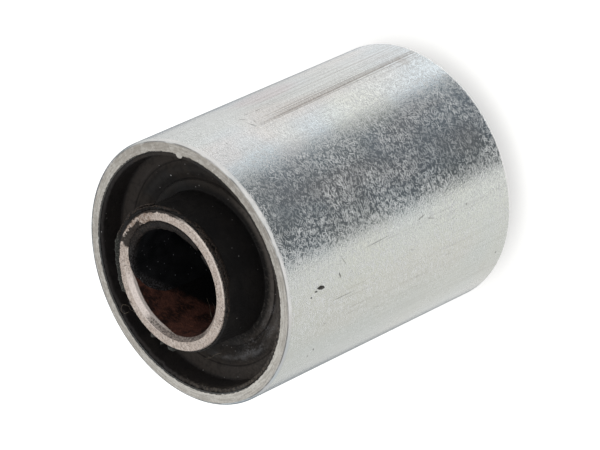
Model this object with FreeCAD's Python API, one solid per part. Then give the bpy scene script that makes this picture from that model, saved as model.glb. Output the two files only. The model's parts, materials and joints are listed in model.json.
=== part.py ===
import FreeCAD, Part
import math
import os

# Rubber metal bush: a steel outer sleeve and a steel inner sleeve with a ring of rubber
# moulded and bonded between them. Millimetres. The axis is Z and the bush stands on the
# lower end of its inner sleeve, with the origin at the middle of that end.

# Outer sleeve, cut from seam-welded tube and zinc plated
sleeve_od = 28.0
sleeve_wall = 1.35
sleeve_length = 32.8
sleeve_outer_round = 0.4
sleeve_inner_break = 0.1

# Weld seam along the inside of the outer sleeve
seam_angle = -30.8
seam_bead_width = 0.9
seam_bead_height = 0.3
undercut_angle = -26.5
undercut_radius = 0.14

# Inner sleeve, which the bolt passes through
bore_d = 12.0
inner_wall = 1.4
inner_projection = 2.4
bore_chamfer = 0.4
inner_outer_round = 0.15

# Rubber collar that climbs the projecting inner sleeve
collar_setback = 0.2
collar_wall = 0.2
collar_flare = 0.1
collar_top_round = 0.1

# Rubber floor at each end, as depths below the end plane of the outer sleeve
recess_depth = 2.8
floor_fall = 0.15
outer_crease_drop = 0.2
ridge_rise = 0.65
foot_rise = 0.25
foot_depth = 3.25
foot_fall = 0.12

# Rubber floor at each end, as widths across the ring
lining_wall = 0.4
floor_band_width = 1.15
outer_crease_width = 0.25
foot_width = 1.05
inner_crease_width = 0.1

# Rounds in the rubber
lining_round = 0.34
wall_foot_round = 0.3
crease_round = 0.06
band_round = 0.15
ridge_round = 1.6
foot_round = 0.1
collar_base_round = 0.15

# How far the rubber blank reaches into the outer sleeve before that sleeve is cut out of it
blank_bite = 0.5

sleeve_r = sleeve_od / 2
sleeve_inner_r = sleeve_r - sleeve_wall
bore_r = bore_d / 2
inner_r = bore_r + inner_wall
inner_length = sleeve_length + 2 * inner_projection
sleeve_bottom = inner_projection
sleeve_top = sleeve_bottom + sleeve_length

AXIS_POINT = FreeCAD.Vector(0, 0, 0)
AXIS_DIRECTION = FreeCAD.Vector(0, 0, 1)


def section_point(radius, height):
    return FreeCAD.Vector(radius, 0, height)


def polar_point(radius, angle, height):
    turn = math.radians(angle)
    return FreeCAD.Vector(radius * math.cos(turn), radius * math.sin(turn), height)


def rounded_corner(before, corner, after, radius):
    """Ends and middle of the arc that rounds one corner, no longer than its sides allow."""
    to_before = before - corner
    to_after = after - corner
    half = to_before.getAngle(to_after) / 2
    reach = min(radius / math.tan(half), 0.48 * to_before.Length, 0.48 * to_after.Length)
    radius = reach * math.tan(half)
    to_before.normalize()
    to_after.normalize()
    inward = to_before + to_after
    inward.normalize()
    middle = corner + inward * (radius / math.sin(half) - radius)
    return corner + to_before * reach, middle, corner + to_after * reach


def turned_solid(corners):
    """Revolve a closed section about the axis; each corner is (radius, height, round)."""
    points = [section_point(radius, height) for radius, height, _ in corners]
    rounds = [corner[2] for corner in corners]
    count = len(points)
    edges = []
    starts = []
    ends = []
    for index, corner in enumerate(points):
        if rounds[index] > 0:
            first, middle, last = rounded_corner(
                points[index - 1], corner, points[(index + 1) % count], rounds[index])
            edges.append(Part.Arc(first, middle, last).toShape())
        else:
            first = last = corner
        starts.append(first)
        ends.append(last)
    for index in range(count):
        edges.append(Part.LineSegment(ends[index], starts[(index + 1) % count]).toShape())
    section = Part.Face(Part.Wire(Part.sortEdges(edges)[0]))
    return section.revolve(AXIS_POINT, AXIS_DIRECTION, 360)


def sleeve_tube():
    return turned_solid([
        (sleeve_inner_r, sleeve_bottom + sleeve_inner_break, 0),
        (sleeve_inner_r + sleeve_inner_break, sleeve_bottom, 0),
        (sleeve_r, sleeve_bottom, sleeve_outer_round),
        (sleeve_r, sleeve_top, sleeve_outer_round),
        (sleeve_inner_r + sleeve_inner_break, sleeve_top, 0),
        (sleeve_inner_r, sleeve_top - sleeve_inner_break, 0),
    ])


def seam_bead():
    """Low rounded ridge of weld metal, the full length of the outer sleeve."""
    radius = (seam_bead_width ** 2 / 4 + seam_bead_height ** 2) / (2 * seam_bead_height)
    centre = polar_point(sleeve_inner_r - seam_bead_height + radius, seam_angle, sleeve_bottom)
    return Part.makeCylinder(radius, sleeve_length, centre, AXIS_DIRECTION)


def seam_undercut():
    """Thin groove that the weld left beside its bead."""
    centre = polar_point(sleeve_inner_r, undercut_angle, sleeve_bottom)
    return Part.makeCylinder(undercut_radius, sleeve_length, centre, AXIS_DIRECTION)


def outer_sleeve():
    return sleeve_tube().fuse(seam_bead()).cut(seam_undercut()).removeSplitter()


def inner_sleeve():
    return turned_solid([
        (bore_r, bore_chamfer, 0),
        (bore_r + bore_chamfer, 0, 0),
        (inner_r, 0, inner_outer_round),
        (inner_r, inner_length, inner_outer_round),
        (bore_r + bore_chamfer, inner_length, 0),
        (bore_r, inner_length - bore_chamfer, 0),
    ])


def rubber_end(plane, inward):
    """Corners of one end of the rubber, from the inner sleeve outward to the outer sleeve.

    plane is the height of the outer sleeve's end there, and inward is -1 at the top and
    1 at the bottom, towards the middle of the bush.
    """
    collar_top = -(inner_projection - collar_setback)
    collar_base_r = inner_r + collar_wall + collar_flare
    foot_r = collar_base_r + foot_width
    inner_crease_r = foot_r + inner_crease_width
    recess_r = sleeve_inner_r - lining_wall
    band_r = recess_r - floor_band_width
    outer_crease_r = band_r - outer_crease_width
    ridge_r = (inner_crease_r + outer_crease_r) / 2
    band_depth = recess_depth + floor_fall
    crease_depth = foot_depth + foot_rise
    corners = [
        (inner_r, collar_top, 0),
        (inner_r + collar_wall, collar_top, collar_top_round),
        (collar_base_r, foot_depth - foot_fall, collar_base_round),
        (foot_r, foot_depth, foot_round),
        (inner_crease_r, crease_depth, crease_round),
        (ridge_r, crease_depth - ridge_rise, ridge_round),
        (outer_crease_r, band_depth + outer_crease_drop, crease_round),
        (band_r, band_depth, band_round),
        (recess_r, recess_depth, wall_foot_round),
        (recess_r, sleeve_inner_break, lining_round),
        (sleeve_inner_r + blank_bite, sleeve_inner_break, 0),
    ]
    return [(radius, plane + inward * depth, rounding) for radius, depth, rounding in corners]


def rubber(sleeve):
    top = rubber_end(sleeve_top, -1)
    bottom = rubber_end(sleeve_bottom, 1)
    blank = turned_solid(top + bottom[::-1])
    return blank.cut(sleeve)


def export_parts():
    sleeve = outer_sleeve()
    pieces = {
        "outer_sleeve": sleeve,
        "rubber": rubber(sleeve),
        "inner_sleeve": inner_sleeve(),
    }
    os.makedirs("parts", exist_ok=True)
    for name, shape in pieces.items():
        shape.exportStep("parts/" + name + ".step")
        print(name, len(shape.Solids), "solid", round(shape.Volume, 2), "mm3", shape.isValid())


export_parts()
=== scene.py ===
"""Looks of a rubber metal bush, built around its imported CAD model.

The bush stands on the lower end of its inner sleeve with its axis along Z. Names that end in _mm are
millimetres and everything handed to Blender is in metres. Angles round the axis are in degrees from +X.
"""

import json
import math
from functools import partial
from types import SimpleNamespace

import bmesh
import bpy
from mathutils import Matrix, Vector, noise


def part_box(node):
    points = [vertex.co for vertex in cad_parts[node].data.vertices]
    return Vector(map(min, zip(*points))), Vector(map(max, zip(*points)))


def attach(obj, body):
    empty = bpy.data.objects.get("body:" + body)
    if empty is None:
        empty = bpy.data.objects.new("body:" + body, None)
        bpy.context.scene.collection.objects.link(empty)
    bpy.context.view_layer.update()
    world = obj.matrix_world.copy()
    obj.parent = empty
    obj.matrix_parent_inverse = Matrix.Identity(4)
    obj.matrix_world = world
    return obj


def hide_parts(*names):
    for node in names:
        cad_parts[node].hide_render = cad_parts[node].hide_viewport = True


bl_info = {
    "name": "Rubber Metal Bush",
    "version": (1, 0, 0),
    "blender": (4, 5, 0),
    "location": "View3D > Sidebar > Bush",
    "description": "Finishes a bonded rubber metal bush and the studio that it stands in",
    "category": "Object",
}

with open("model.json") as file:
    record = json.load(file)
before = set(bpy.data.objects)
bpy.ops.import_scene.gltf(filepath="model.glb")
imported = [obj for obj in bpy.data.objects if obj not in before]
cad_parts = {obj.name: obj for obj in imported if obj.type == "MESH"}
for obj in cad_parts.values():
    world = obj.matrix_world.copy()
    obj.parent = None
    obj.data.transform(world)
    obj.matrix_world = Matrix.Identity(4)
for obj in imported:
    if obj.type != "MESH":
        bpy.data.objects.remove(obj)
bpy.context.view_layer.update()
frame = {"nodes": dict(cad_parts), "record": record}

MM = 0.001
BODY = "root"
SLEEVE_LOW, SLEEVE_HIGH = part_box("outer_sleeve")
INNER_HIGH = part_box("inner_sleeve")[1]
SLEEVE_R_MM = SLEEVE_HIGH.x / MM
SLEEVE_BOTTOM_MM = SLEEVE_LOW.z / MM
SLEEVE_TOP_MM = SLEEVE_HIGH.z / MM
INNER_R_MM = INNER_HIGH.x / MM
INNER_TOP_MM = INNER_HIGH.z / MM
BORE_R_MM = next(mount["dims"]["r_mm"] for mount in frame["record"]["mounts"] if mount["name"] == "bore")
MIDDLE_MM = INNER_TOP_MM / 2

# The outer sleeve's wall and weld seam, as in the CAD model
SLEEVE_WALL_MM = 1.35
SLEEVE_INNER_R_MM = SLEEVE_R_MM - SLEEVE_WALL_MM
SEAM_ANGLE = -31


def linear(hex_colour):
    """sRGB hex colour as the linear RGBA that Blender works in."""
    values = []
    for start in (1, 3, 5):
        share = int(hex_colour[start:start + 2], 16) / 255
        values.append(share / 12.92 if share <= 0.04045 else ((share + 0.055) / 1.055) ** 2.4)
    return (*values, 1.0)


# Sizes and colours that a user may change

length_property = partial(bpy.props.FloatProperty, subtype="DISTANCE", unit="LENGTH")
colour_property = partial(bpy.props.FloatVectorProperty, size=4, min=0, max=1, subtype="COLOR")


class BushSizes(bpy.types.PropertyGroup):
    sleeve_wall: length_property(
        name="Outer sleeve wall", description="Thickness of the outer sleeve's tube",
        default=SLEEVE_WALL_MM * MM, min=0.5 * MM)
    lining_wall: length_property(
        name="Lining", description="Rubber left on the outer sleeve's wall above the recess floor",
        default=0.4 * MM, min=0.1 * MM)
    collar_wall: length_property(
        name="Collar", description="Rubber round the projecting end of the inner sleeve, at its top",
        default=0.2 * MM, min=0.05 * MM)
    recess_depth: length_property(
        name="Recess depth", description="Depth of the rubber floor at the lining",
        default=2.8 * MM, min=0.5 * MM)
    ridge_rise: length_property(
        name="Ridge rise", description="Height of the rounded ridge above the inner crease",
        default=0.65 * MM, min=0.0)


class BushColours(bpy.types.PropertyGroup):
    zinc: colour_property(
        name="Zinc plating", description="Plated side of the outer sleeve", default=linear("#d2d5d3"))
    zinc_shade: colour_property(
        name="Zinc shade", description="Drawn seam streaks in the plating", default=linear("#7f7770"))
    cut_steel: colour_property(
        name="Cut steel", description="Sawn and plated end faces of the outer sleeve",
        default=linear("#dcd9d1"))
    bare_steel: colour_property(
        name="Bare steel", description="End faces of the inner sleeve", default=linear("#d2c4b9"))
    rust: colour_property(name="Rust", description="Light rust in the bore", default=linear("#54352d"))
    rubber: colour_property(name="Rubber", description="Moulded black rubber", default=linear("#2e2c2b"))
    bloom: colour_property(
        name="Bloom", description="Bluish grey bloom on the rubber", default=linear("#858587"))


class BushStudio(bpy.types.PropertyGroup):
    floor: colour_property(
        name="Floor", description="Colour of the floor that the bush stands on", default=linear("#f2f2f0"))
    surround: bpy.props.FloatProperty(
        name="Surround", description="Brightness of the pale surround, where 1 is white",
        default=1.0, min=0, max=4)


# Shader building

SMOOTH = {"interpolation_type": "SMOOTHSTEP"}


def add_node(tree, kind, inputs=(), **settings):
    """Add one shader node with its settings; inputs hold sockets or nodes to link, or plain values."""
    made = tree.nodes.new("ShaderNode" + kind)
    for name, value in settings.items():
        setattr(made, name, value)
    pairs = inputs.items() if isinstance(inputs, dict) else enumerate(inputs)
    for key, value in pairs:
        if isinstance(value, bpy.types.Node):
            value = value.outputs[0]
        if isinstance(value, bpy.types.NodeSocket):
            tree.links.new(value, made.inputs[key])
        else:
            made.inputs[key].default_value = value
    return made


def new_material(name):
    """An empty material and the function that adds a node to it."""
    material = bpy.data.materials.new(name)
    material.use_nodes = True
    material.node_tree.nodes.clear()
    return material, partial(add_node, material.node_tree)


def places(add):
    """Where a point lies on the bush, in millimetres and degrees.

    unrolled is the way round, the height and the radius, and side the first two of them. depth is
    measured from the nearer end of the inner sleeve. facing is 1 on the end faces and 0 on the sides, and
    upper_end is 1 in the upper half.
    """
    coordinates = add("TexCoord")
    point = add("VectorMath", {0: coordinates.outputs["Object"], "Scale": 1 / MM}, operation="SCALE")
    parts = add("SeparateXYZ", [point])
    height = parts.outputs["Z"]
    flat = add("VectorMath", [point, (1, 1, 0)], operation="MULTIPLY")
    radius = add("VectorMath", [flat], operation="LENGTH").outputs["Value"]
    turn = add("Math", [parts.outputs["Y"], parts.outputs["X"]], operation="ARCTAN2")
    arc = add("Math", [turn, SLEEVE_R_MM], operation="MULTIPLY")
    from_middle = add("Math", [add("Math", [height, MIDDLE_MM], operation="SUBTRACT")], operation="ABSOLUTE")
    normal = add("SeparateXYZ", [add("NewGeometry").outputs["Normal"]])
    return SimpleNamespace(
        point=point,
        radius=radius,
        height=height,
        angle=add("Math", [turn, 180 / math.pi], operation="MULTIPLY"),
        unrolled=add("CombineXYZ", [arc, height, radius]),
        side=add("CombineXYZ", [arc, height]),
        depth=add("Math", [MIDDLE_MM, from_middle], operation="SUBTRACT"),
        facing=add("Math", [normal.outputs["Z"]], operation="ABSOLUTE"),
        upper_end=add("MapRange", [height, MIDDLE_MM, MIDDLE_MM + 1]),
    )


def overlap(add, mask, *others):
    """Mask of what all of the masks let through."""
    for other in others:
        mask = add("Math", [mask, other], operation="MULTIPLY")
    return mask


def union(add, mask, *others):
    """Mask of what any of the masks lets through."""
    for other in others:
        mask = add("Math", [mask, other], operation="MAXIMUM")
    return mask


def toward(add, at, angle, start, full):
    """Mask round one direction: 0 beyond start degrees from it, 1 within full degrees."""
    reach = add("VectorMath", [at.point, flat_direction(angle)], operation="DOT_PRODUCT").outputs["Value"]
    cosine = add("Math", [reach, at.radius], operation="DIVIDE")
    limits = [math.cos(math.radians(degrees)) for degrees in (start, full)]
    return add("MapRange", [cosine, *limits], **SMOOTH)


def window(add, value, start, end, soft):
    """1 between start and end, with edges that fade over soft to each side."""
    rise = add("MapRange", [value, start - soft, start + soft], **SMOOTH)
    fall = add("MapRange", [value, end - soft, end + soft, 1.0, 0.0], **SMOOTH)
    return overlap(add, rise, fall)


def paint(add, colour, *layers):
    """Lay colours over a base; a layer is a colour and the masks that it shows through."""
    for over, *masks in layers:
        if isinstance(over, str):
            over = linear(over)
        colour = add("MixRGB", [overlap(add, *masks), colour, over])
    return colour


def patches(add, vector, size_mm, low, high, stretch=(1, 1, 1), detail=2.0, turn=0.0):
    """Noise patches about size_mm across, longer where stretch is more than 1.

    The mask is 0 where the noise is under low and 1 where it is over high.
    """
    lengths = tuple(size_mm * value for value in stretch)
    placed = add(
        "Mapping", {"Vector": vector, "Rotation": (0, 0, math.radians(turn)), "Scale": lengths},
        vector_type="TEXTURE")
    cloud = add("TexNoise", {"Vector": placed, "Scale": 1.0, "Detail": detail})
    return add("MapRange", [cloud, low, high], **SMOOTH)


def scattered(add, cells, full, gone, share):
    """Spots in a share of a pattern's cells: whole within full of a cell's middle, and gone beyond gone."""
    body = add("MapRange", [cells.outputs["Distance"], full, gone, 1.0, 0.0], **SMOOTH)
    drawn = add("SeparateColor", [cells.outputs["Color"]])
    kept = add("MapRange", [drawn.outputs["Red"], 1 - share, 1 - share / 2])
    return overlap(add, body, kept)


def strokes(add, vector, length_mm, width_mm, turn, share):
    """Short scratches scattered over the unrolled side, at turn degrees to the way round."""
    spacing = (2 * length_mm, 2 * width_mm, 1)
    placed = add(
        "Mapping", {"Vector": vector, "Rotation": (0, 0, math.radians(turn)), "Scale": spacing},
        vector_type="TEXTURE")
    cells = add("TexVoronoi", {"Vector": placed, "Scale": 1.0}, voronoi_dimensions="2D")
    return scattered(add, cells, 0.17, 0.29, share)


def mark(add, at, angle, height_mm, length_mm, width_mm, turn, strength):
    """One mark on the unrolled side, at turn degrees to the way round."""
    place = (SLEEVE_R_MM * math.radians(angle), height_mm, 0)
    local = add(
        "Mapping", {"Vector": at.side, "Location": place, "Rotation": (0, 0, math.radians(turn)),
                    "Scale": (length_mm / 2, width_mm / 2, 1)}, vector_type="TEXTURE")
    reach = add("VectorMath", [local], operation="LENGTH").outputs["Value"]
    return add("MapRange", [reach, 0.5, 1.0, strength, 0.0], **SMOOTH)


def specks(add, vector, spacing_mm, size_mm, share):
    """Bright motes of dust, on average spacing_mm apart and size_mm across, in a share of the places."""
    cells = add("TexVoronoi", {"Vector": vector, "Scale": 1 / spacing_mm})
    edge = size_mm / spacing_mm / 2
    return scattered(add, cells, 0.6 * edge, 1.3 * edge, share)


# Layers of short scratches in the plating: length, width, turn from the way round, share of their cells
STROKES = (
    (0.5, 0.055, 4, 0.26), (0.45, 0.05, -16, 0.26), (0.5, 0.055, 21, 0.26), (1.4, 0.07, -5, 0.14),
    (0.45, 0.05, 46, 0.22), (0.45, 0.05, -50, 0.22), (0.5, 0.05, 84, 0.2), (0.28, 0.045, 8, 0.3),
    (0.26, 0.045, -30, 0.3), (0.26, 0.045, 65, 0.3), (0.6, 0.08, 33, 0.12), (0.6, 0.08, -24, 0.12),
    (0.9, 0.09, 12, 0.08), (0.8, 0.09, -38, 0.07), (0.7, 0.09, 62, 0.06),
)

# Marks on the plated side: angle, height, length, width, turn, strength
SCRATCHES = (
    (-126.9, 27.5, 4.2, 0.13, 90, 0.5),
    (-110.9, 22.2, 4.6, 0.12, 92, 0.5),
    (-109.5, 15.6, 1.4, 0.14, 105, 0.7),
    (-111.6, 14.3, 1.2, 0.12, 70, 0.6),
    (-112.2, 27.1, 1.7, 0.12, 28, 0.5),
    (-117.2, 27.9, 0.75, 0.2, 8, 1.0),
    (-149.0, 30.6, 0.5, 0.2, 20, 0.9),
    (-152.0, 31.1, 0.4, 0.2, 0, 0.7),
    (-112.7, 9.0, 0.35, 0.3, 0, 0.5),
    (-143.3, 3.9, 0.3, 0.25, 0, 0.8),
    (-20.3, 11.5, 0.3, 0.2, 0, 0.7),
    (-15.9, 30.9, 0.3, 0.2, 0, 0.6),
    (-44.6, 31.8, 0.3, 0.2, 0, 0.5),
    (-34.0, 27.0, 0.9, 0.16, 40, 0.7),
    (-31.5, 25.8, 0.7, 0.14, 75, 0.5),
    (-40.0, 27.1, 1.1, 0.16, 20, 0.6),
    (-38.6, 26.4, 0.9, 0.14, 160, 0.5),
    (-32.0, 24.3, 1.2, 0.14, 100, 0.6),
    (-136.0, 30.0, 0.8, 0.1, 60, 0.4),
    (-141.0, 22.0, 0.9, 0.12, 80, 0.3),
    (-131.0, 12.0, 1.5, 0.1, 85, 0.3),
    (-121.0, 17.5, 1.2, 0.1, 75, 0.35),
    (-135.0, 16.5, 0.7, 0.1, 100, 0.35),
)

# Places on the plated side with fewer scratches, given like the marks
SPARED = (
    (-90.0, 8.0, 7.0, 9.0, 0, 0.35),
    (-87.0, 33.0, 5.0, 5.0, 0, 0.2),
)

# Soft stains on the plated side: angle, height, length, width, turn, strength, colour
STAINS = (
    (-41.0, 5.3, 2.4, 1.6, 0, 0.3, "#8b7d70"),
    (-20.0, 20.5, 4.6, 11.0, 0, 0.4, "#d3bfc4"),
    (-141.5, 18.0, 1.3, 13.0, 0, 0.18, "#9b9a98"),
    (-149.0, 5.5, 2.0, 1.2, 0, 0.35, "#a19484"),
    (-58.0, 30.0, 9.0, 5.0, 0, 0.3, "#c6d3d8"),
    (-56.0, 16.0, 7.0, 12.0, 0, 0.35, "#d8d8ca"),
    (-122.0, 24.0, 9.0, 9.0, 0, 0.3, "#d6d5c8"),
    (-118.0, 10.0, 9.0, 12.0, 0, 0.25, "#d3d2c2"),
    (-142.0, 17.0, 26.0, 80.0, 0, 0.7, "#cdcfc5"),
)


def plated_tube_steel(colours):
    """Zinc plated, seam-welded steel tube.

    Bright plating over a drawn tube: it mirrors the surround softly, sparkles with short handling
    scratches, and shows faint cool and warm tints. The sawn end faces are duller.
    """
    material, add = new_material("zinc_plated_tube_steel")
    at = places(add)
    on_end = add("MapRange", [at.facing, 0.93, 0.985], **SMOOTH)
    on_side = add("MapRange", [at.facing, 0.5, 0.1], **SMOOTH)
    on_round = window(add, at.facing, 0.14, 0.93, 0.08)

    # Cool and warm tints of the passivated plating, 6 to 9 mm across, and stains
    cool = patches(add, at.point, 9.0, 0.42, 0.62, detail=1.5)
    warm = patches(add, at.point, 6.0, 0.5, 0.7, stretch=(1, 1, 2.5), detail=1.0)
    stains = [(stain, mark(add, at, *place), on_side) for *place, stain in STAINS]
    colour = paint(add, tuple(colours.zinc), ("#ccd4d8", cool), ("#d8cfca", warm, 0.5), *stains)

    # Fine spangle of the plating, drawn at 0.17 mm so that it shows
    spangle = patches(add, at.point, 0.17, 0.35, 0.65, detail=3.0)

    # Short scratches under 0.1 mm wide, mostly round the tube, bent a little and denser in places
    bend = add("TexNoise", {"Vector": at.unrolled, "Scale": 1 / 1.6, "Detail": 1.0})
    offset = add("VectorMath", [bend.outputs["Color"], (0.5, 0.5, 0.5)], operation="SUBTRACT")
    swayed = add("VectorMath", {0: offset, 1: (0.4, 0.4, 0), 2: at.unrolled}, operation="MULTIPLY_ADD")
    crowd = patches(add, at.unrolled, 2.6, 0.38, 0.6, detail=5.0)
    density = add("MapRange", [crowd, 0.0, 1.0, 0.6, 1.0])
    spared = [add("Math", [1.0, mark(add, at, *place)], operation="SUBTRACT") for place in SPARED]
    handled = union(add, toward(add, at, -88, 62, 30), toward(add, at, 95, 80, 40))
    handled = add("MapRange", [handled, 0.0, 1.0, 0.4, 1.0])
    scratches = union(add, *(strokes(add, swayed, *layer) for layer in STROKES))
    scratches = overlap(add, scratches, density, *spared, handled, on_side)

    # Streaks that the seam rollers left along the tube: dark ones at the seam, faint ones beside it
    lines = patches(add, at.unrolled, 0.18, 0.46, 0.6, stretch=(1, 220, 1), detail=2.0, turn=1.9)
    drawn = patches(add, at.unrolled, 0.18, 0.44, 0.7, stretch=(1, 150, 1), detail=4.0, turn=1.9)
    faint = patches(add, at.unrolled, 0.16, 0.5, 0.8, stretch=(1, 60, 1), detail=3.0)
    drift = add("Math", [at.height, 0.136, at.angle], operation="MULTIPLY_ADD")
    at_seam = window(add, drift, -39.8, -34.4, 1.2)
    starts = add("MapRange", [at.height, 29.0, 21.0], **SMOOTH)
    beside = window(add, at.angle, -48, 2, 7)

    # Scratched plating looks lighter, and the streaks lie over it
    shade = tuple(colours.zinc_shade)
    colour = paint(
        add, colour, ("#f3f4f4", scratches, 0.95), (shade, beside, starts, on_side, 0.13),
        (shade, drawn, beside, starts, 0.32), (shade, lines, at_seam, starts, 0.6),
        (shade, faint, on_side, 0.2))

    # Single marks, and a painted highlight along the rounded edge where it mirrors the overhead light, broken
    # up in places
    marks = union(add, *(mark(add, at, *values) for values in SCRATCHES))
    broken = patches(add, at.unrolled, 0.9, 0.36, 0.6, stretch=(2.5, 1, 1), detail=4.0)
    bright = add("MapRange", [broken, 0.0, 1.0, 0.5, 1.0])
    painted_edge_highlight = overlap(add, bright, toward(add, at, -70, 70, 46), on_round)
    colour = paint(add, colour, ("#4d4a45", marks, on_side), ("#f4f3f1", painted_edge_highlight))

    # End faces: a paler inner ring and a greyer outer one, mottled, with turned marks and pits
    turned = patches(add, at.unrolled, 0.16, 0.44, 0.6, stretch=(12, 1, 1), detail=3.0)
    pitted = patches(add, at.point, 0.2, 0.52, 0.7, detail=3.0)
    mottled = patches(add, at.point, 0.5, 0.44, 0.57, detail=5.0)
    outer_ring = add("MapRange", [at.radius, SLEEVE_R_MM - 1.0, SLEEVE_R_MM - 0.75], **SMOOTH)
    face = paint(
        add, tuple(colours.cut_steel), ("#c2beb6", outer_ring, 0.5),
        ("#a19a91", toward(add, at, -42, 80, 40), 0.6), ("#a59e95", toward(add, at, 75, 60, 30), 0.45),
        ("#e2e0da", mottled, 0.45), ("#99938b", turned, 0.45), ("#7d766e", pitted, 0.4))

    # Rubber torn over the inner edge of the end faces but not over the weld, and a dark line at the
    # outer edge
    tear = add("TexNoise", {"Vector": at.point, "Scale": 1 / 0.4, "Detail": 4.0})
    torn_r = add("Math", [tear, 0.34, at.radius], operation="MULTIPLY_ADD")
    overrun = add("MapRange", [torn_r, SLEEVE_INNER_R_MM + 0.34, SLEEVE_INNER_R_MM + 0.28], **SMOOTH)
    off_seam = add("Math", [1.0, toward(add, at, SEAM_ANGLE, 6, 3)], operation="SUBTRACT")
    overrun = overlap(add, overrun, off_seam)
    brink = window(add, at.facing, 0.83, 0.965, 0.04)
    gapped = patches(add, at.unrolled, 2.5, 0.34, 0.6, detail=3.0)
    colour = paint(
        add, colour, (face, on_end), ("#26221f", overrun, 0.9), ("#57504a", brink, gapped, 0.7))

    # Plating is smooth between scratches, scuffed matt in them, and rough on the cut ends; the painted edge
    # highlight is made less metallic so that it shows pale
    covered = add("Math", [overrun, 0.5, scratches], operation="MULTIPLY_ADD")
    covered = add("Math", [painted_edge_highlight, 1.2, covered], operation="MULTIPLY_ADD")
    metallic = add("Math", [covered, -0.55, 1.0], operation="MULTIPLY_ADD")
    roughness = add("MapRange", [spangle, 0.0, 1.0, 0.07, 0.13])
    roughness = add("Math", [scratches, 0.5, roughness], operation="MULTIPLY_ADD")
    roughness = add("Math", [on_end, 0.22, roughness], operation="MULTIPLY_ADD")
    relief = add("Math", [spangle, 0.5, scratches], operation="MULTIPLY_ADD")
    relief = add("Math", [overlap(add, turned, on_end), 1.2, relief], operation="MULTIPLY_ADD")
    bump = add("Bump", {"Height": relief, "Distance": 0.008 * MM, "Strength": 1.0})
    shader = add("BsdfPrincipled", {
        "Base Color": colour, "Metallic": metallic, "Roughness": roughness, "Normal": bump})
    add("OutputMaterial", [shader])
    return material


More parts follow.
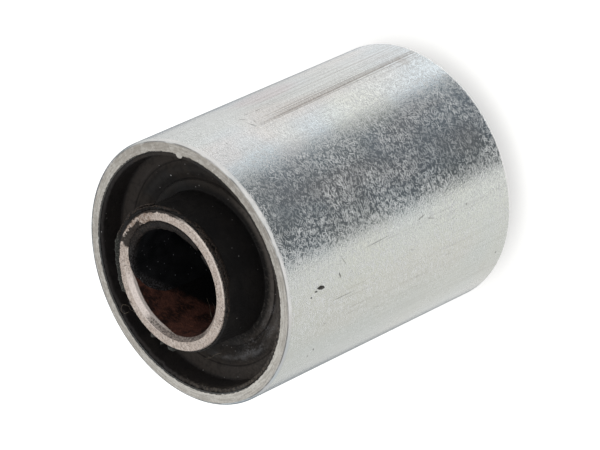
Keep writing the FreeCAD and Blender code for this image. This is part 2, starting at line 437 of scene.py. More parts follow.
def bare_tube_steel(colours):
    """Bare cold-drawn steel tube, cut and chamfered.

    Its end faces are grainy and pinkish from a breath of rust, the chamfer is bright where a tool
    scraped it, and the bore is blotchy with rust near its mouths and near black deeper in.
    """
    material, add = new_material("bare_tube_steel")
    at = places(add)

    # The bore's dark wall starts a little deeper where its mouth is scraped
    near_wall = add("MapRange", [at.radius, BORE_R_MM + 0.06, BORE_R_MM + 0.01], **SMOOTH)
    scraped_wall = overlap(add, toward(add, at, 104, 44, 24), at.upper_end)
    start = add("Math", [scraped_wall, -0.36, at.depth], operation="MULTIPLY_ADD")
    in_bore = overlap(add, near_wall, add("MapRange", [start, 0.36, 0.44], **SMOOTH))
    on_chamfer = window(add, at.facing, 0.5, 0.9, 0.08)

    # Granular cut face, 0.2 mm grains with bright glints and darker pits
    grit = patches(add, at.point, 0.17, 0.42, 0.66, detail=4.0)
    glints = patches(add, at.point, 0.3, 0.48, 0.64, detail=4.0)
    pits = patches(add, at.point, 0.26, 0.62, 0.72, detail=2.0)
    colour = paint(
        add, tuple(colours.bare_steel), ("#9a8c84", grit, 0.6), ("#f4ebe4", glints, 0.4),
        ("#5b4a42", pits, 0.8))

    # Worn bright along the outer edge, scraped pinkish white round part of the bore's mouth, and grey
    # and speckled on the chamfer next to that
    outer_edge = add("MapRange", [at.radius, INNER_R_MM - 0.2, INNER_R_MM - 0.06], **SMOOTH)
    inner_edge = add("MapRange", [at.radius, BORE_R_MM + 0.55, BORE_R_MM + 0.38], **SMOOTH)
    scraped = overlap(add, toward(add, at, 98, 40, 20), at.upper_end)
    greyed = overlap(add, on_chamfer, toward(add, at, 152, 46, 34))
    speckle = patches(add, at.point, 0.2, 0.45, 0.6, detail=3.0)
    colour = paint(
        add, colour, ("#f3e7de", outer_edge, toward(add, at, -75, 60, 35), 0.85),
        ("#f8ece5", scraped, inner_edge, 0.95), ("#79706a", greyed, 0.75),
        ("#4b4541", speckle, greyed, 0.75))

    # Rust in the bore, blotchy, then near black beyond about 5 mm
    blotches = patches(add, at.point, 1.3, 0.36, 0.66, detail=6.0)
    streaked = patches(add, at.unrolled, 0.35, 0.45, 0.75, stretch=(2.5, 1, 1), detail=4.0)
    brown = paint(add, linear("#261917"), (tuple(colours.rust), blotches), ("#96604c", streaked, 0.3))
    sway = add("TexNoise", {"Vector": at.point, "Scale": 1 / 1.1, "Detail": 3.0})
    sunk = add("Math", [sway, 1.6, at.depth], operation="MULTIPLY_ADD")
    far_enough = add("MapRange", [at.angle, 97.0, 130.0, 4.7, 7.4])
    sunk = add("Math", [sunk, far_enough], operation="SUBTRACT")
    deep_black = add("MapRange", [sunk, 0.0, 1.3], **SMOOTH)
    colour = paint(add, colour, (brown, in_bore), ("#0e0d0d", deep_black, in_bore))

    # Rubber smeared over the inner half of the face at one place, with a crack of it right across
    drift = add("TexNoise", {"Vector": at.point, "Scale": 1 / 0.45, "Detail": 3.0})
    centred = add("Math", [drift, 0.5], operation="SUBTRACT")
    place = add("Math", [centred, 16.0, at.angle], operation="MULTIPLY_ADD")
    reach = add("Math", [centred, 1.3, at.radius], operation="MULTIPLY_ADD")
    near_bore = add("MapRange", [reach, BORE_R_MM + 1.04, BORE_R_MM + 0.88], **SMOOTH)
    inner_half = overlap(add, window(add, place, 5, 39, 2.0), near_bore)
    edge = add("Math", [centred, 0.5, at.radius], operation="MULTIPLY_ADD")
    outer_rim = add("MapRange", [edge, INNER_R_MM - 0.2, INNER_R_MM - 0.13], **SMOOTH)
    crack = window(add, place, 31, 36, 1.2)
    notch = overlap(add, window(add, place, -48, 88, 8.0), outer_rim)
    smear = overlap(add, union(add, inner_half, crack, notch), at.upper_end)

    # A brown stain beside the smear
    stained = overlap(add, window(add, place, -14, 26, 5.0), at.upper_end)
    spotted = patches(add, at.point, 0.5, 0.44, 0.56, detail=4.0)
    colour = paint(
        add, colour, ("#8d7564", stained, spotted, 0.6), ("#54402f", stained, speckle, 0.5),
        ("#1a1614", smear, 0.93))

    # Rust and rubber hide the metal and roughen it
    covered = union(add, near_wall, smear)
    metallic = add("Math", [covered, -0.85, 0.92], operation="MULTIPLY_ADD", use_clamp=True)
    roughness = add("MapRange", [grit, 0.0, 1.0, 0.36, 0.55])
    roughness = add("Math", [covered, 0.35, roughness], operation="MULTIPLY_ADD")
    relief = add("Math", [pits, -0.8, grit], operation="MULTIPLY_ADD")
    bump = add("Bump", {"Height": relief, "Distance": 0.025 * MM, "Strength": 1.0})
    shader = add("BsdfPrincipled", {
        "Base Color": colour, "Metallic": metallic, "Roughness": roughness, "Normal": bump,
        "Specular IOR Level": 0.15})
    add("OutputMaterial", [shader])
    return material


RUBBER_IOR = 1.52


def moulded_rubber(colours, ring):
    """Natural rubber, compression moulded.

    Near black with a soft sheen. The collar deep in the recess, the lining's wall on the side away from the
    light and the creases are painted darker as shade; the floor is a little browner, and a bluish bloom and
    pale dust lie on one side of it.
    """
    material, add = new_material("moulded_natural_rubber")
    at = places(add)
    cloudy = patches(add, at.point, 2.6, 0.38, 0.66, detail=4.0)
    fine = patches(add, at.point, 0.22, 0.3, 0.7, detail=3.0)
    # Painted shade: the collar, deep in the recess, is coloured darker
    shaded_collar = add("MapRange", [at.radius, ring.collar_base + 0.9, ring.collar_base + 0.2], **SMOOTH)
    on_floor = add("MapRange", [at.facing, 0.4, 0.8], **SMOOTH)
    outer_floor = window(add, at.radius, ring.outer_crease - 0.25, ring.recess - 0.15, 0.3)
    open_floor = window(add, at.radius, ring.collar_base + 0.6, ring.recess - 0.15, 0.3)
    lining = add("MapRange", [at.radius, ring.recess - 0.25, ring.recess - 0.05], **SMOOTH)
    colour = paint(
        add, tuple(colours.rubber), ("#3a3531", cloudy), ("#171718", shaded_collar, 0.75),
        ("#4b4541", outer_floor, on_floor, 0.7),
        ("#6a645f", open_floor, on_floor, toward(add, at, -108, 60, 30), 0.8),
        # Painted shade: the lining's wall is darker on the side that faces away from the overhead light
        ("#2b2828", lining, toward(add, at, 90, 100, 60), 0.6),
        ("#0f0e0e", lining, toward(add, at, 70, 60, 35), 0.25))

    # Fine grain of wear, with pale specks on the side that lies open, and painted shade in the creases
    grainy = patches(add, at.point, 0.24, 0.48, 0.66, detail=5.0)
    hollow = patches(add, at.point, 0.5, 0.48, 0.66, detail=5.0)
    inner_crease = window(add, at.radius, ring.inner_crease - 0.06, ring.inner_crease + 0.08, 0.05)
    outer_crease = window(add, at.radius, ring.outer_crease - 0.07, ring.outer_crease + 0.09, 0.05)
    colour = paint(
        add, colour, ("#141313", hollow, 0.35),
        ("#6b655f", grainy, on_floor, toward(add, at, -140, 80, 30), 0.3),
        ("#0c0b0b", union(add, inner_crease, outer_crease), on_floor, 0.6))

    # Bluish bloom on one side of the ridge, grainy and broken into streaks
    bloom = tuple(colours.bloom)
    clumps = patches(add, at.unrolled, 0.9, 0.4, 0.64, stretch=(2, 1, 0.7), detail=5.0)
    grains = patches(add, at.point, 0.16, 0.42, 0.64, detail=2.0)
    thick = window(add, at.radius, ring.inner_crease - 0.35, ring.inner_crease + 1.15, 0.5)
    chalky = overlap(add, toward(add, at, -161, 34, 8), at.upper_end)
    thin = window(add, at.radius, ring.inner_crease + 0.75, ring.inner_crease + 1.45, 0.3)
    hazy = overlap(add, toward(add, at, 172, 32, 10), at.upper_end)

    # Beige dust on the lining's lip, low on the same side
    lip = add("MapRange", [at.height, SLEEVE_TOP_MM - 1.3, SLEEVE_TOP_MM - 0.3], **SMOOTH)
    powder = patches(add, at.point, 0.35, 0.42, 0.62, detail=4.0)
    outermost = add("MapRange", [at.radius, ring.recess - 0.35, ring.recess - 0.05], **SMOOTH)

    # Over both lie fine faint motes, and a few larger crumbs
    colour = paint(
        add, colour, (bloom, thick, clumps, grains, chalky, 0.7), (bloom, thin, clumps, hazy, 0.3),
        ("#857b6f", powder, lip, outermost, toward(add, at, -172, 62, 30), 0.3),
        ("#5c554e", powder, outer_floor, toward(add, at, -150, 50, 20), 0.3),
        ("#c9c7c6", specks(add, at.point, 0.5, 0.12, 0.16), 0.5),
        ("#e4e3e2", specks(add, at.point, 1.6, 0.17, 0.16), 0.8))

    roughness = add("MapRange", [cloudy, 0.0, 1.0, 0.42, 0.6])
    roughness = add("Math", [on_floor, 0.2, roughness], operation="MULTIPLY_ADD")
    relief = add("Math", [clumps, 1.5, fine], operation="MULTIPLY_ADD")
    bump = add("Bump", {"Height": relief, "Distance": 0.012 * MM, "Strength": 0.8})
    shader = add("BsdfPrincipled", {
        "Base Color": colour, "Roughness": roughness, "Normal": bump, "IOR": RUBBER_IOR,
        "Specular IOR Level": 0.16})
    add("OutputMaterial", [shader])
    return material


def torn_rubber():
    """Thin torn flash of the same rubber.

    Matt and dry: brown and fibrous where it is freshly torn, and grey on the upward faces of the side
    that has lain open, from dust and from painted light that makes the tops lighter than their shaded
    inner faces.
    """
    material, add = new_material("torn_rubber_flash")
    at = places(add)
    fibres = patches(add, at.point, 0.14, 0.42, 0.68, stretch=(1, 1, 2), detail=4.0)
    upward = add("MapRange", [at.facing, 0.25, 0.7], **SMOOTH)
    grey = paint(add, linear("#2f312f"), ("#5e615b", fibres))
    # Grey on the upward faces of one side: dust, and painted light that makes the tops lighter than the
    # shaded inner faces
    colour = paint(
        add, linear("#1a1614"), ("#4b3e35", fibres, 0.85), (grey, toward(add, at, 92, 60, 50), upward, 0.85))
    relief = add("Bump", {"Height": fibres, "Distance": 0.03 * MM, "Strength": 1.0})
    shader = add("BsdfPrincipled", {
        "Base Color": colour, "Roughness": 0.7, "Normal": relief, "IOR": RUBBER_IOR,
        "Specular IOR Level": 0.3})
    add("OutputMaterial", [shader])
    return material


def bore_rubber():
    """Rubber film squeezed into the bore.

    Blue-black and a little greasy down the bore, brown and fuzzy where its lip is torn. On one side the lip
    has a painted bluish sheen and dust motes lie on the film.
    """
    material, add = new_material("squeezed_rubber_film")
    at = places(add)
    skin = patches(add, at.point, 1.2, 0.4, 0.65, detail=3.0)
    fuzz = patches(add, at.point, 0.16, 0.42, 0.66, detail=4.0)
    falling = add("MapRange", [at.angle, 66.0, 98.0, 0.3, 4.2])
    from_lip = add("Math", [at.depth, falling], operation="SUBTRACT")
    at_lip = add("MapRange", [from_lip, 1.2, 0.4], **SMOOTH)
    dust_and_sheen = toward(add, at, 88, 62, 30)
    # The torn lip is brown and fuzzy; on one side it also gets a painted bluish sheen, and dust motes lie
    # there
    torn = paint(add, linear("#161312"), ("#3b332e", fuzz), ("#54565b", fuzz, dust_and_sheen, 0.7))
    colour = paint(
        add, linear("#131416"), ("#1d1e20", skin), (torn, at_lip, 0.85),
        ("#b9bcc2", specks(add, at.point, 0.4, 0.1, 0.3), dust_and_sheen, 0.8),
        ("#dcdcdc", specks(add, at.point, 1.3, 0.14, 0.06), dust_and_sheen, 0.6))
    roughness = add("MapRange", [skin, 0.0, 1.0, 0.42, 0.6])
    bump = add("Bump", {"Height": fuzz, "Distance": 0.02 * MM, "Strength": 0.6})
    shader = add("BsdfPrincipled", {
        "Base Color": colour, "Roughness": roughness, "Normal": bump, "IOR": RUBBER_IOR,
        "Specular IOR Level": 0.12})
    add("OutputMaterial", [shader])
    return material


def lint_fibre():
    """Textile lint caught on the torn rubber: pale, dry and matt."""
    material, add = new_material("lint_fibre")
    tone = patches(add, places(add).point, 0.5, 0.4, 0.6)
    colour = paint(add, linear("#5b5248"), ("#827766", tone))
    shader = add("BsdfPrincipled", {"Base Color": colour, "Roughness": 0.8, "IOR": 1.5})
    add("OutputMaterial", [shader])
    return material


def baked_on_dirt():
    """Dried dirt and oil: a dark matt crust with paler crumbs."""
    material, add = new_material("baked_on_dirt")
    crust = patches(add, places(add).point, 0.2, 0.3, 0.7)
    colour = paint(add, linear("#1f1d1a"), ("#45413a", crust))
    shader = add("BsdfPrincipled", {"Base Color": colour, "Roughness": 0.6, "IOR": 1.5})
    add("OutputMaterial", [shader])
    return material


# Meshes

def flat_direction(angle):
    """Level unit vector at an angle round the axis."""
    return Vector((math.cos(math.radians(angle)), math.sin(math.radians(angle)), 0))


def polar(radius, angle, height):
    """Point in millimetres at a radius, an angle round the axis and a height."""
    return flat_direction(angle) * radius + Vector((0, 0, height))


def smoothstep(start, end, value):
    """0 at start and before, 1 at end and beyond, and smooth between."""
    share = min(max((value - start) / (end - start), 0.0), 1.0)
    return share * share * (3 - 2 * share)


def along(points, value):
    """Follow a smooth curve through a list of (place, amount), level beyond its ends."""
    places = [place for place, _ in points]
    if value <= places[0]:
        return points[0][1]
    if value >= places[-1]:
        return points[-1][1]
    index = next(number for number, place in enumerate(places) if place > value) - 1

    def slope(number):
        before, after = points[max(number - 1, 0)], points[min(number + 1, len(points) - 1)]
        return (after[1] - before[1]) / (after[0] - before[0])

    (start, start_amount), (end, end_amount) = points[index], points[index + 1]
    width = end - start
    share = (value - start) / width
    rise = start_amount + (end_amount - start_amount) * share * share * (3 - 2 * share)
    leave = slope(index) * share * (1 - share) ** 2
    arrive = slope(index + 1) * share ** 2 * (share - 1)
    return rise + width * (leave + arrive)


def ring_noise(angle, waves, layer):
    """Noise that closes on itself round the axis, with about waves swings in a turn."""
    reach = waves / math.pi
    return noise.noise(flat_direction(angle) * reach + Vector((0, 0, 7.3 * layer)))


def rounded_section(corners, spacing):
    """Points along a section whose corners are (radius, depth, round), close enough to look smooth."""
    path = []
    for index, (radius, depth, rounding) in enumerate(corners):
        corner = Vector((radius, depth))
        if rounding == 0:
            path.append(corner)
            continue
        to_before = Vector(corners[index - 1][:2]) - corner
        to_after = Vector(corners[index + 1][:2]) - corner
        half = to_before.angle(to_after) / 2
        reach = min(rounding / math.tan(half), 0.48 * to_before.length, 0.48 * to_after.length)
        fitted = reach * math.tan(half)
        inward = (to_before.normalized() + to_after.normalized()).normalized()
        middle = corner + inward * (fitted / math.sin(half))
        sweep = math.pi - 2 * half
        steps = max(3, round(sweep * fitted / spacing) + 1)
        first = corner + to_before.normalized() * reach - middle
        side = 1 if to_before.x * to_after.y - to_before.y * to_after.x > 0 else -1
        for step in range(steps + 1):
            path.append(middle + Matrix.Rotation(-side * sweep * step / steps, 2) @ first)
    filled = [path[0]]
    for start, end in zip(path, path[1:]):
        steps = max(1, math.ceil((end - start).length / spacing))
        filled.extend(start.lerp(end, step / steps) for step in range(1, steps + 1))
    return [(point.x, point.y) for point in filled]


def new_piece(name, points_mm, faces):
    """Smooth-shaded object from points in millimetres, with its faces turned outward."""
    mesh = bpy.data.meshes.new(name)
    mesh.from_pydata([point * MM for point in points_mm], [], faces)
    shape = bmesh.new()
    shape.from_mesh(mesh)
    bmesh.ops.recalc_face_normals(shape, faces=shape.faces)
    for face in shape.faces:
        face.smooth = True
    shape.to_mesh(mesh)
    shape.free()
    piece = bpy.data.objects.new(name, mesh)
    bpy.context.scene.collection.objects.link(piece)
    return piece


def skinned(name, sections, closed=False):
    """Skin over a row of sections with as many points each; it ends in flat caps unless it closes."""
    count = len(sections[0])
    points = [point for section in sections for point in section]
    faces = []
    for place in range(len(sections) if closed else len(sections) - 1):
        here = place * count
        there = (here + count) % len(points)
        for index in range(count):
            after = (index + 1) % count
            faces.append((here + index, there + index, there + after, here + after))
    if not closed:
        faces.append(tuple(range(count)))
        faces.append(tuple(range(len(points) - count, len(points))))
    return new_piece(name, points, faces)


def fit(piece, material):
    """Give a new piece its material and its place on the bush."""
    piece.data.materials.append(material)
    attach(piece, BODY)


# Wear round the visible end: angle, then millimetres
COLLAR_THICKENING = (
    (-180, 0.0), (-130, 0.0), (-60, 0.02), (-25, 0.1), (0, 0.14), (14, 0.18), (38, 0.18), (60, 0.08),
    (100, 0.0), (180, 0.0))
COLLAR_TEAR = (
    (-180, 0.05), (-150, 0.1), (-120, 0.3), (-75, 0.35), (-45, 0.15), (-10, 0.05), (40, 0.0), (70, 0.35),
    (180, 0.1))
COLLAR_FRAY = ((-180, 0.3), (-100, 0.6), (-50, 1.0), (35, 1.0), (60, 0.4), (180, 0.3))
LINING_TEAR = ((-180, 0.16), (-140, 0.06), (-60, 0.03), (20, 0.06), (90, 0.12), (130, 0.2), (180, 0.16))


# The rubber's ends: steps across the ring, then drops below the recess floor beside the lining
COLLAR_FLARE_MM = 0.1
FOOT_WIDTH_MM = 1.05
INNER_CREASE_WIDTH_MM = 0.1
OUTER_CREASE_WIDTH_MM = 0.25
FLOOR_BAND_WIDTH_MM = 1.15
BAND_DROP_MM = 0.15
OUTER_CREASE_DROP_MM = 0.35
COLLAR_BASE_DROP_MM = 0.33
FOOT_DROP_MM = 0.45
INNER_CREASE_DROP_MM = 0.7
COLLAR_SETBACK_MM = 0.2
LINING_SETBACK_MM = 0.1


def rubber_ring(sizes):
    """Radii across the rubber's ends in millimetres."""
    wall = SLEEVE_R_MM - sizes.sleeve_wall / MM
    recess = wall - sizes.lining_wall / MM
    band = recess - FLOOR_BAND_WIDTH_MM
    collar_top = INNER_R_MM + sizes.collar_wall / MM
    collar_base = collar_top + COLLAR_FLARE_MM
    foot = collar_base + FOOT_WIDTH_MM
    return SimpleNamespace(
        collar_top=collar_top, collar_base=collar_base, foot=foot, inner_crease=foot + INNER_CREASE_WIDTH_MM,
        outer_crease=band - OUTER_CREASE_WIDTH_MM, band=band, recess=recess, wall=wall)


def rubber_end_section(sizes):
    """Corners of one end of the rubber as (radius, depth, round), from the inner sleeve outward."""
    ring = rubber_ring(sizes)
    floor = sizes.recess_depth / MM
    inner_crease = floor + INNER_CREASE_DROP_MM
    collar_top = SLEEVE_TOP_MM + COLLAR_SETBACK_MM - INNER_TOP_MM
    return [
        (INNER_R_MM, collar_top, 0),
        (ring.collar_top, collar_top, 0.1),
        (ring.collar_base, floor + COLLAR_BASE_DROP_MM, 0.15),
        (ring.foot, floor + FOOT_DROP_MM, 0.1),
        (ring.inner_crease, inner_crease, 0.06),
        ((ring.inner_crease + ring.outer_crease) / 2, inner_crease - sizes.ridge_rise / MM, 1.6),
        (ring.outer_crease, floor + OUTER_CREASE_DROP_MM, 0.06),
        (ring.band, floor + BAND_DROP_MM, 0.15),
        (ring.recess, floor, 0.3),
        (ring.recess, LINING_SETBACK_MM, 0.34),
        (ring.wall, LINING_SETBACK_MM, 0),
    ]


def worn_end(path, ring, angle, layer, wear):
    """The end section at one angle, with its waves, thin spots and torn lips; wear is 1 at the worn end."""
    wave = 0.05 * ring_noise(angle, 5, layer)
    lean = 0.03 * ring_noise(angle, 23, layer + 1)
    collar_thick = wear * along(COLLAR_THICKENING, angle) + 0.03 * ring_noise(angle, 30, layer + 2)
    collar_tear = wear * along(COLLAR_TEAR, angle)
    fray = wear * along(COLLAR_FRAY, angle)
    bites = max(0.0, 0.1 * ring_noise(angle, 75, layer + 3) + 0.08 * ring_noise(angle, 22, layer + 4))
    ruffle = 0.09 * fray * ring_noise(angle, 110, layer + 6)
    lining_tear = wear * along(LINING_TEAR, angle)
    lining_rag = ring_noise(angle, 90, layer + 5)
    for radius, depth in path:
        on_floor = smoothstep(ring.collar_base + 0.3, ring.foot + 0.05, radius)
        on_floor *= 1 - smoothstep(ring.recess - 0.85, ring.recess - 0.15, radius)
        at_rim = 1 - smoothstep(ring.collar_base + 0.25, ring.collar_base + 0.5, radius)
        at_rim *= smoothstep(-0.4, -2.0, depth)
        at_lip = smoothstep(ring.recess - 0.15, ring.recess - 0.05, radius)
        at_lip *= 1 - smoothstep(0.15, 0.8, depth)
        outside = smoothstep(INNER_R_MM + 0.02, INNER_R_MM + 0.2, radius)
        inside = 1 - smoothstep(ring.recess + 0.05, ring.wall - 0.03, radius)
        moved_r = radius + on_floor * (wave + 0.4 * lean) + at_rim * outside * (collar_thick + ruffle)
        moved_r -= at_lip * inside * (lining_tear * 0.4 * max(0, lining_rag) + 0.02 * lining_rag)
        moved_depth = depth + on_floor * 0.5 * lean
        moved_depth += at_rim * (0.03 + (0.6 + fray) * bites + collar_tear * outside)
        moved_depth += at_lip * max(0.0, lining_tear * (0.6 + 1.4 * lining_rag))
        yield moved_r, moved_depth


RING_SEGMENTS = 480
RING_SPACING_MM = 0.17


def rubber_sections(sizes):
    """Whole closed sections of the rubber, one after another round the axis."""
    path = rounded_section(rubber_end_section(sizes), RING_SPACING_MM)
    ring = rubber_ring(sizes)
    for segment in range(RING_SEGMENTS):
        angle = 360 * segment / RING_SEGMENTS - 180
        shown = worn_end(path, ring, angle, 1, 1.0)
        upper = [polar(radius, angle, SLEEVE_TOP_MM - depth) for radius, depth in shown]
        hidden = worn_end(path, ring, -angle, 11, 0.5)
        lower = [polar(radius, angle, SLEEVE_BOTTOM_MM + depth) for radius, depth in hidden]
        yield upper + lower[::-1]


STRIP_STEP_DEGREES = 0.6


def torn_strip(name, start, end, section, fade):
    """Strip of flash from one angle to another, thinning over fade degrees at its ends.

    section(angle) gives its (radius, height) points.
    """
    count = round((end - start) / STRIP_STEP_DEGREES)
    sections = []
    for place in range(count + 1):
        angle = start + (end - start) * place / count
        taper = 0.1 + 0.9 * smoothstep(0, fade, min(angle - start, end - angle))
        points = [Vector(point) for point in section(angle)]
        centre = sum(points, Vector((0, 0))) / len(points)
        thinned = [centre + (point - centre) * taper for point in points]
        sections.append([polar(point.x, angle, point.y) for point in thinned])
    return skinned(name, sections)


# Rubber films in the bore's mouth and on its wall, thinning over fade degrees at their ends. The rows of
# their upper edge and of their lip are (angle, millimetres), with heights from the sleeve's top. reach is
# how far a film goes down the wall, and layer the first of its noise layers.
FILMS = (
    SimpleNamespace(
        name="bore_film", start=-72, end=98, fade=1.5, reach=10.0, layer=21,
        edge_radius=((-72, 6.1), (-60, 6.3), (-11, 6.35), (30, 6.3), (45, 6.15), (60, 5.99), (130, 5.99)),
        edge_height=((-72, 2.1), (-60, 2.3), (40, 2.3), (58, 2.15), (69, 1.75), (77, 1.2), (86, 0.45),
                     (92, -0.4), (98, -1.7)),
        lip_radius=((-72, 4.85), (-52, 5.0), (-37, 5.2), (-19, 5.3), (-2, 5.4), (20, 5.6), (45, 5.78),
                    (60, 5.86), (98, 5.93)),
        lip_height=((-72, 1.5), (-52, 1.7), (-19, 1.9), (40, 1.95), (58, 1.9), (69, 1.55), (77, 1.0),
                    (86, 0.25), (92, -0.6), (98, -1.9))),
    SimpleNamespace(
        name="bore_film_remnant", start=-104, end=-76, fade=3, reach=3.0, layer=71,
        edge_radius=((-104, 5.99), (-76, 6.0)),
        edge_height=((-104, 1.9), (-76, 2.0)),
        lip_radius=((-104, 5.85), (-92, 5.4), (-76, 5.2)),
        lip_height=((-104, 1.7), (-76, 1.8))),
)

# How a film leans back to the wall below its lip: share of its reach, then millimetres outward
FILM_HOLLOW = ((0.008, 0.01), (0.05, 0.12), (0.2, 0.3), (0.6, 0.36), (1.0, 0.4))


def film_section(film):
    """Section of a film at any angle: from its upper edge in to its lip, then down the wall."""
    layer = film.layer

    def section(angle):
        top_r = along(film.edge_radius, angle) + 0.03 * ring_noise(angle, 60, layer)
        top_z = along(film.edge_height, angle) + SLEEVE_TOP_MM + 0.04 * ring_noise(angle, 50, layer + 1)
        lip_r = along(film.lip_radius, angle) + 0.06 * ring_noise(angle, 40, layer + 2)
        lip_z = along(film.lip_height, angle) + SLEEVE_TOP_MM + 0.08 * ring_noise(angle, 30, layer + 3)
        furrow = 0.05 * ring_noise(angle, 110, layer + 4)
        wall = BORE_R_MM + 0.02
        down = [(min(BORE_R_MM - 0.02, lip_r + lean), lip_z - share * film.reach)
                for share, lean in FILM_HOLLOW]
        return [
            (top_r, top_z),
            ((top_r + lip_r) / 2, (top_z + lip_z) / 2 + 0.02 + furrow),
            (lip_r, lip_z),
            *down,
            (wall, lip_z - film.reach - 0.1),
            (wall, top_z - 0.45),
        ]

    return section


# Collar flash on the visible end: start and end angle, foot and tip as (radius, height), thickness,
# raggedness
FLASH_STRIPS = (
    (40, 86, (7.75, 0.6), (8.5, 1.76), 0.18, 0.1),
    (87, 112, (7.7, 0.7), (8.22, 1.7), 0.2, 0.1),
    (116, 124, (7.85, 1.1), (8.27, 1.8), 0.5, 0.06),
    (126, 132.5, (7.82, 1.0), (8.24, 1.8), 0.5, 0.06),
    (133, 144, (7.8, 1.1), (8.2, 1.76), 0.44, 0.08),
    (-46, 22, (7.55, 1.6), (7.8, 2.22), 0.15, 0.22),
    (-16, 44, (7.68, 1.5), (8.0, 2.14), 0.17, 0.22),
    (-140, -46, (7.5, 1.65), (7.66, 2.2), 0.09, 0.2),
    (-112, -56, (7.55, 1.4), (7.8, 2.02), 0.09, 0.25),
)
FLASH_FADE_DEGREES = 4
FLASH_FIRST_LAYER = 30


def flash_section(foot, tip, thickness, raggedness, layer):
    """Section of a strip of collar flash at any angle, up its inner face and down its outer one."""
    def section(angle):
        rag = raggedness * (1.2 * ring_noise(angle, 90, layer) + ring_noise(angle, 24, layer + 1))
        lean = 0.08 * ring_noise(angle, 15, layer + 2) + 0.3 * raggedness * ring_noise(angle, 60, layer + 2)
        tip_r = tip[0] + lean
        tip_z = SLEEVE_TOP_MM + min(tip[1] + rag, tip[1] + 0.13)
        foot_r, foot_z = foot[0], SLEEVE_TOP_MM + foot[1]
        middle_r, middle_z = (tip_r + foot_r) / 2 + 0.04, (tip_z + foot_z) / 2
        half = thickness / 2
        return [
            (foot_r - half, foot_z), (middle_r - half, middle_z), (tip_r - 0.8 * half, tip_z),
            (tip_r + 0.8 * half, tip_z - 0.04), (middle_r + half, middle_z), (foot_r + half, foot_z),
        ]

    return section


# Dark chips of dirt on the plated side: outlines as (angle, height)
DIRT_FLAKES = (
    ((-118.2, 31.25), (-117.6, 30.7), (-118.4, 30.25), (-119.3, 30.1), (-119.7, 30.55), (-119.1, 31.0)),
    ((-119.2, 31.62), (-119.15, 31.25), (-119.6, 31.15), (-119.7, 31.5)),
    ((-121.0, 32.25), (-120.8, 32.05), (-121.2, 31.95), (-121.4, 32.15)),
)


def dirt_flake(name, outline):
    """A thin crust that follows the sleeve's side within its outline."""
    count = len(outline)
    centre_angle = sum(point[0] for point in outline) / count
    centre_height = sum(point[1] for point in outline) / count
    points = []
    for lift, share in ((-0.02, 1.0), (0.02, 0.92)):
        points.extend(
            polar(SLEEVE_R_MM + lift, centre_angle + (angle - centre_angle) * share,
                  centre_height + (height - centre_height) * share)
            for angle, height in outline)
    points.append(polar(SLEEVE_R_MM + 0.03, centre_angle, centre_height))
    faces = [tuple(range(count))]
    for index in range(count):
        after = (index + 1) % count
        faces.append((index, after, count + after, count + index))
        faces.append((count + index, count + after, 2 * count))
    return new_piece(name, points, faces)


# Lint caught on the rubber: points as (radius, angle, height from the sleeve's top), then its radius
LINT = (
    (((5.9, 121, -5.0), (5.75, 125, -4.7), (5.72, 133, -4.2), (5.7, 141, -3.5), (5.85, 149, -2.9)), 0.018),
    (((5.85, 129, -5.0), (5.6, 136, -4.5), (5.55, 144, -3.9), (5.75, 151, -3.3)), 0.014),
    (((8.6, 100, 1.2), (9.1, 96, 1.3), (9.58, 92.8, 1.0), (10.34, 90.6, 1.0), (10.95, 93, 1.0),
      (10.68, 95.2, 1.0), (9.9, 95.9, 1.0)), 0.012),
    (((10.6, 143, -2.6), (10.2, 148, -2.5), (9.7, 152, -2.55), (9.4, 157, -2.7)), 0.018),
)


FIBRE_STEPS = 8
FIBRE_SIDES = 6


def fibre(name, route, radius_mm):
    """Fine round hair along a smooth line through its points."""
    points = [polar(radius, angle, SLEEVE_TOP_MM + height) for radius, angle, height in route]
    points = [2 * points[0] - points[1], *points, 2 * points[-1] - points[-2]]
    smooth = []
    for before, start, end, after in zip(points, points[1:], points[2:], points[3:]):
        for step in range(FIBRE_STEPS):
            share = step / FIBRE_STEPS
            bend = (2 * before - 5 * start + 4 * end - after) * share ** 2
            swing = (3 * start - before - 3 * end + after) * share ** 3
            smooth.append(start + ((end - before) * share + bend + swing) / 2)
    smooth.append(points[-2])
    sections = []
    for index, point in enumerate(smooth):
        ahead = (smooth[min(index + 1, len(smooth) - 1)] - smooth[max(index - 1, 0)]).normalized()
        across = ahead.cross(Vector((0.3, 0.2, 0.93))).normalized()
        lifted = ahead.cross(across)
        turns = [math.tau * side / FIBRE_SIDES for side in range(FIBRE_SIDES)]
        sections.append([point + radius_mm * (math.cos(t) * across + math.sin(t) * lifted) for t in turns])
    return skinned(name, sections)


# Operators

class BushOperator:
    """What all the operators share"""
    bl_options = {"REGISTER", "UNDO"}


class BUSH_OT_outer_sleeve(BushOperator, bpy.types.Operator):
    """Finish the outer sleeve as zinc plated tube"""
    bl_idname = "bush.outer_sleeve"
    bl_label = "Outer sleeve"

    def execute(self, context):
        sleeve = frame["nodes"]["outer_sleeve"]
        sleeve.material_slots[0].material = plated_tube_steel(context.scene.bush_colours)
        return {"FINISHED"}


class BUSH_OT_inner_sleeve(BushOperator, bpy.types.Operator):
    """Finish the inner sleeve as bare steel tube with rust in its bore"""
    bl_idname = "bush.inner_sleeve"
    bl_label = "Inner sleeve"

    def execute(self, context):
        sleeve = frame["nodes"]["inner_sleeve"]
        sleeve.material_slots[0].material = bare_tube_steel(context.scene.bush_colours)
        return {"FINISHED"}


class BUSH_OT_rubber(BushOperator, bpy.types.Operator):
    """Build the moulded rubber with its worn lips and creases"""
    bl_idname = "bush.rubber"
    bl_label = "Rubber"

    def execute(self, context):
        sizes = context.scene.bush_sizes
        piece = skinned("rubber_ring", list(rubber_sections(sizes)), closed=True)
        material = moulded_rubber(context.scene.bush_colours, rubber_ring(sizes))
        fit(piece, material)
        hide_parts("rubber")
        return {"FINISHED"}


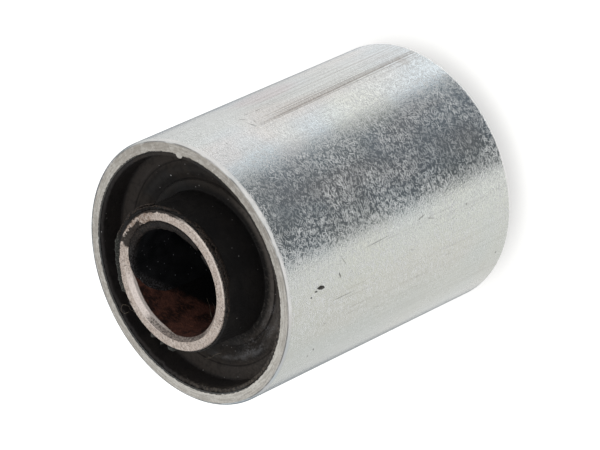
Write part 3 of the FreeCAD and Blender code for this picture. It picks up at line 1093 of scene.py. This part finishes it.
class BUSH_OT_flash(BushOperator, bpy.types.Operator):
    """Build the torn flash round the collar and the films in the bore"""
    bl_idname = "bush.flash"
    bl_label = "Torn flash"

    def execute(self, context):
        torn = torn_rubber()
        for number, (start, end, *shape) in enumerate(FLASH_STRIPS):
            section = flash_section(*shape, FLASH_FIRST_LAYER + 3 * number)
            piece = torn_strip("collar_flash_" + str(number + 1), start, end, section, FLASH_FADE_DEGREES)
            fit(piece, torn)
        squeezed = bore_rubber()
        for film in FILMS:
            piece = torn_strip(film.name, film.start, film.end, film_section(film), film.fade)
            fit(piece, squeezed)
        return {"FINISHED"}


class BUSH_OT_dirt(BushOperator, bpy.types.Operator):
    """Build the chips of dirt on the outer sleeve and the lint on the rubber"""
    bl_idname = "bush.dirt"
    bl_label = "Dirt"

    def execute(self, context):
        crust = baked_on_dirt()
        for number, outline in enumerate(DIRT_FLAKES, 1):
            fit(dirt_flake("dirt_flake_" + str(number), outline), crust)
        lint = lint_fibre()
        for number, (route, radius) in enumerate(LINT, 1):
            fit(fibre("lint_" + str(number), route, radius), lint)
        return {"FINISHED"}


# The bush is lit as if it lay on its side: overhead, the room and the far side are angles round its axis.
# Seen by the camera, the plated side mirrors steeper directions towards its lower end.
OVERHEAD_ANGLE = -35.3
ROOM_ANGLE = -128.0
FAR_ANGLE = 92.0
MIRRORED_AT_LOWER_END = -0.69
MIRRORED_AT_UPPER_END = -0.645
CAMERA_PLACE_MM = (-0.29, -331.1, 303.5)
CAMERA_RIGHT = (-0.41886, -0.59156, -0.68892)
CAMERA_UP = (0.90805, -0.27287, -0.31778)
CAMERA_LENS_MM = 257.4
CAMERA_SENSOR_MM = 36.0
FLOOR_HALF_WIDTH_MM = 3000.0
FLOOR_LIFT = 0.55
WHITE = linear("#ffffff")


class BUSH_OT_stage(BushOperator, bpy.types.Operator):
    """Set up the pale floor, the soft studio light and the camera"""
    bl_idname = "bush.stage"
    bl_label = "Stage"

    def execute(self, context):
        studio = context.scene.bush_studio
        context.scene.world = self.surround(studio)
        self.floor(studio)
        self.camera(context)
        return {"FINISHED"}

    def surround(self, studio):
        """White to the camera; elsewhere pale, with the dim sides of the room for metal to mirror."""
        world = bpy.data.worlds.new("studio")
        world.use_nodes = True
        world.node_tree.nodes.clear()
        add = partial(add_node, world.node_tree)
        direction = add("TexCoord").outputs["Generated"]
        upward, roomward, farward = (
            add("VectorMath", [direction, flat_direction(angle)], operation="DOT_PRODUCT").outputs["Value"]
            for angle in (OVERHEAD_ANGLE, ROOM_ANGLE, FAR_ANGLE))
        height = add("SeparateXYZ", [direction]).outputs["Z"]
        low_down = add("MapRange", [height, 0.0, 0.2, 1.0, 0.0], **SMOOTH)
        down_tube = add("MapRange", [height, MIRRORED_AT_LOWER_END, MIRRORED_AT_UPPER_END, 1.0, 0.0])

        # The dim room shows over the table's edge on the near side, and a little less on the far side
        table_edge = add("Math", [down_tube, -0.075, upward], operation="MULTIPLY_ADD")
        above_table = add("MapRange", [table_edge, 0.02, 0.05], **SMOOTH)
        room_edge = add("Math", [down_tube, 0.25, roomward], operation="MULTIPLY_ADD")
        in_room = add("MapRange", [room_edge, -0.04, 0.14], **SMOOTH)
        near_side = overlap(add, above_table, in_room)
        far_side = add("MapRange", [farward, 0.68, 0.74, 0.0, 0.75], **SMOOTH)
        dim = overlap(add, union(add, near_side, far_side), low_down)

        # Pale light from all round, brightest overhead at the lower end, and the room's faint one
        overhead = add("Math", [down_tube, 0.95, 0.8], operation="MULTIPLY_ADD")
        brightness = add("MapRange", [upward, -1.0, 1.0, 0.76, overhead])
        pale = add("Math", [brightness, studio.surround], operation="MULTIPLY")
        room = add("MapRange", [room_edge, 0.1, 0.9, 0.28, 0.16])
        level = add("Mix", {0: dim, 2: pale, 3: room})
        tone = paint(add, WHITE, ("#e9f2fb", dim))
        lit = add("Background", {"Color": tone, "Strength": level})
        white = add("Background", {"Color": WHITE, "Strength": 1.0})
        seen = add("LightPath").outputs["Is Camera Ray"]
        add("OutputWorld", [add("MixShader", [seen, lit, white])])
        return world

    def floor(self, studio):
        """Wide pale floor; it lifts itself to white for the camera and keeps the soft shadow."""
        half = FLOOR_HALF_WIDTH_MM
        corners = [Vector((x, y, 0)) for x, y in ((-half, -half), (half, -half), (half, half), (-half, half))]
        floor = new_piece("floor", corners, [(0, 1, 2, 3)])
        floor.visible_glossy = False
        material, add = new_material("pale_floor")
        seen = add("LightPath").outputs["Is Camera Ray"]
        lift = add("Math", [seen, FLOOR_LIFT], operation="MULTIPLY")
        shader = add("BsdfPrincipled", {
            "Base Color": tuple(studio.floor), "Roughness": 0.9, "Emission Color": WHITE,
            "Emission Strength": lift})
        add("OutputMaterial", [shader])
        floor.data.materials.append(material)

    def camera(self, context):
        """Camera that sees the bush as the photo does."""
        data = bpy.data.cameras.new("camera")
        data.lens = CAMERA_LENS_MM
        data.sensor_width = CAMERA_SENSOR_MM
        data.clip_start = 0.01
        data.clip_end = 20.0
        camera = bpy.data.objects.new("camera", data)
        right = Vector(CAMERA_RIGHT)
        up = Vector(CAMERA_UP)
        turned = Matrix((right, up, right.cross(up))).transposed().to_4x4()
        camera.matrix_world = Matrix.Translation(Vector(CAMERA_PLACE_MM) * MM) @ turned
        context.scene.collection.objects.link(camera)
        context.scene.camera = camera
        context.scene.view_settings.view_transform = "Standard"


class BUSH_PT_panel(bpy.types.Panel):
    """Lists the pieces of the bush and its stage"""
    bl_idname = "BUSH_PT_panel"
    bl_label = "Rubber Metal Bush"
    bl_space_type = "VIEW_3D"
    bl_region_type = "UI"
    bl_category = "Bush"

    def draw(self, context):
        layout = self.layout
        for group in (context.scene.bush_sizes, context.scene.bush_colours, context.scene.bush_studio):
            box = layout.box()
            for name in group.__annotations__:
                box.prop(group, name)
        for operator in OPERATORS:
            layout.operator(operator.bl_idname)


OPERATORS = (
    BUSH_OT_stage,
    BUSH_OT_outer_sleeve,
    BUSH_OT_inner_sleeve,
    BUSH_OT_rubber,
    BUSH_OT_flash,
    BUSH_OT_dirt,
)
CLASSES = (BushSizes, BushColours, BushStudio, *OPERATORS, BUSH_PT_panel)


def register():
    for item in CLASSES:
        bpy.utils.register_class(item)
    bpy.types.Scene.bush_sizes = bpy.props.PointerProperty(type=BushSizes)
    bpy.types.Scene.bush_colours = bpy.props.PointerProperty(type=BushColours)
    bpy.types.Scene.bush_studio = bpy.props.PointerProperty(type=BushStudio)


def unregister():
    del bpy.types.Scene.bush_sizes
    del bpy.types.Scene.bush_colours
    del bpy.types.Scene.bush_studio
    for item in reversed(CLASSES):
        bpy.utils.unregister_class(item)


def main():
    register()
    for operator in OPERATORS:
        group, name = operator.bl_idname.split(".")
        getattr(getattr(bpy.ops, group), name)()


if __name__ == "__main__":
    main()
